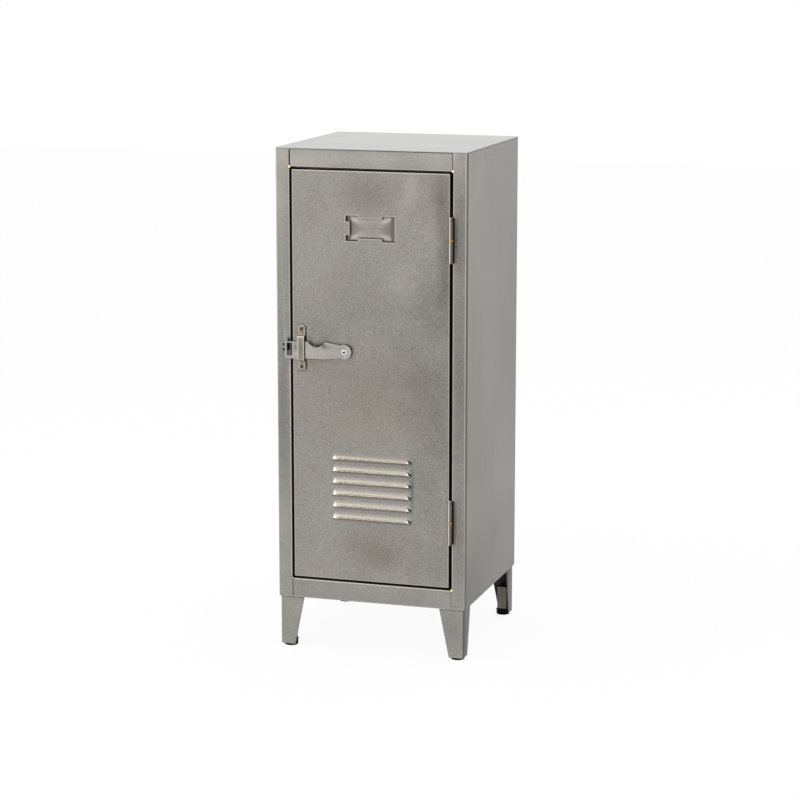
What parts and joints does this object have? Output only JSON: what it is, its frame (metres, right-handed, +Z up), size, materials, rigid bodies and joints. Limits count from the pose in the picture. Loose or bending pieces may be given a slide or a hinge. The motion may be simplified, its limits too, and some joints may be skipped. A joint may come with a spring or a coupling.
{
  "type": "metal locker",
  "caption": "Narrow sheet steel locker with an inset louvred door, a lever latch, lift-off hinges and tapered folded legs.",
  "frame": {"origin": "on the ground under the middle of the bounding box", "axes": "+Z up, the door faces -Y, +X is to the right of a person who faces the door"},
  "size_m": [0.31, 0.318, 0.803],
  "materials": {
    "frame_steel": "sanded bare steel under clear lacquer",
    "side_steel": "brushed bare steel under clear lacquer",
    "door_steel": "sanded bare steel with cloudy tarnish under clear lacquer",
    "latch_steel": "polished plain steel",
    "inner_steel": "mill finish",
    "bright_rivet": "bright zinc",
    "brass": "bright brass",
    "black_steel": "black oxide",
    "black_rubber": "matt"
  },
  "bodies": {
    "cabinet": {"left_side_panel": "side_steel", "right_side_panel": "side_steel", "back_panel": "inner_steel", "top_panel": "side_steel", "bottom_panel": "inner_steel", "top_rail": "frame_steel", "bottom_rail": "frame_steel", "shelf": "inner_steel", "left_shelf_rail": "inner_steel", "right_shelf_rail": "inner_steel", "front_left_leg": "frame_steel", "front_right_leg": "frame_steel", "back_left_leg": "frame_steel", "back_right_leg": "frame_steel", "front_left_foot_socket": "inner_steel", "front_right_foot_socket": "inner_steel", "back_left_foot_socket": "inner_steel", "back_right_foot_socket": "inner_steel", "front_left_foot": "black_rubber", "front_right_foot": "black_rubber", "back_left_foot": "black_rubber", "back_right_foot": "black_rubber", "braze_beads": "brass", "door_buffers": "black_rubber", "keeper_hook": "black_steel", "keeper_rivets": "black_steel", "upper_frame_knuckle": "latch_steel", "lower_frame_knuckle": "latch_steel", "upper_hinge_pin": "bright_rivet", "lower_hinge_pin": "bright_rivet", "upper_hinge_washer": "brass", "lower_hinge_washer": "brass"},
    "door": {"door_panel": "door_steel", "latch_backing_plate": "inner_steel", "upper_door_knuckle": "latch_steel", "lower_door_knuckle": "latch_steel", "latch_guide": "latch_steel", "guide_rivets": "latch_steel", "latch_spacer": "latch_steel", "latch_pivot_rivet": "bright_rivet"},
    "lever": {"latch_lever": "latch_steel"}
  },
  "joints": [
    {"name": "door_hinge", "type": "hinge", "parent": "cabinet", "child": "door", "pos_m": [0.1308, -0.1488, 0.4455], "axis": [0, 0, 1], "range_deg": [0, 175]},
    {"name": "latch_pivot", "type": "hinge", "parent": "door", "child": "lever", "pos_m": [-0.0414, -0.15, 0.486], "axis": [0, 1, 0], "range_deg": [-1.25, 5]}
  ]
}
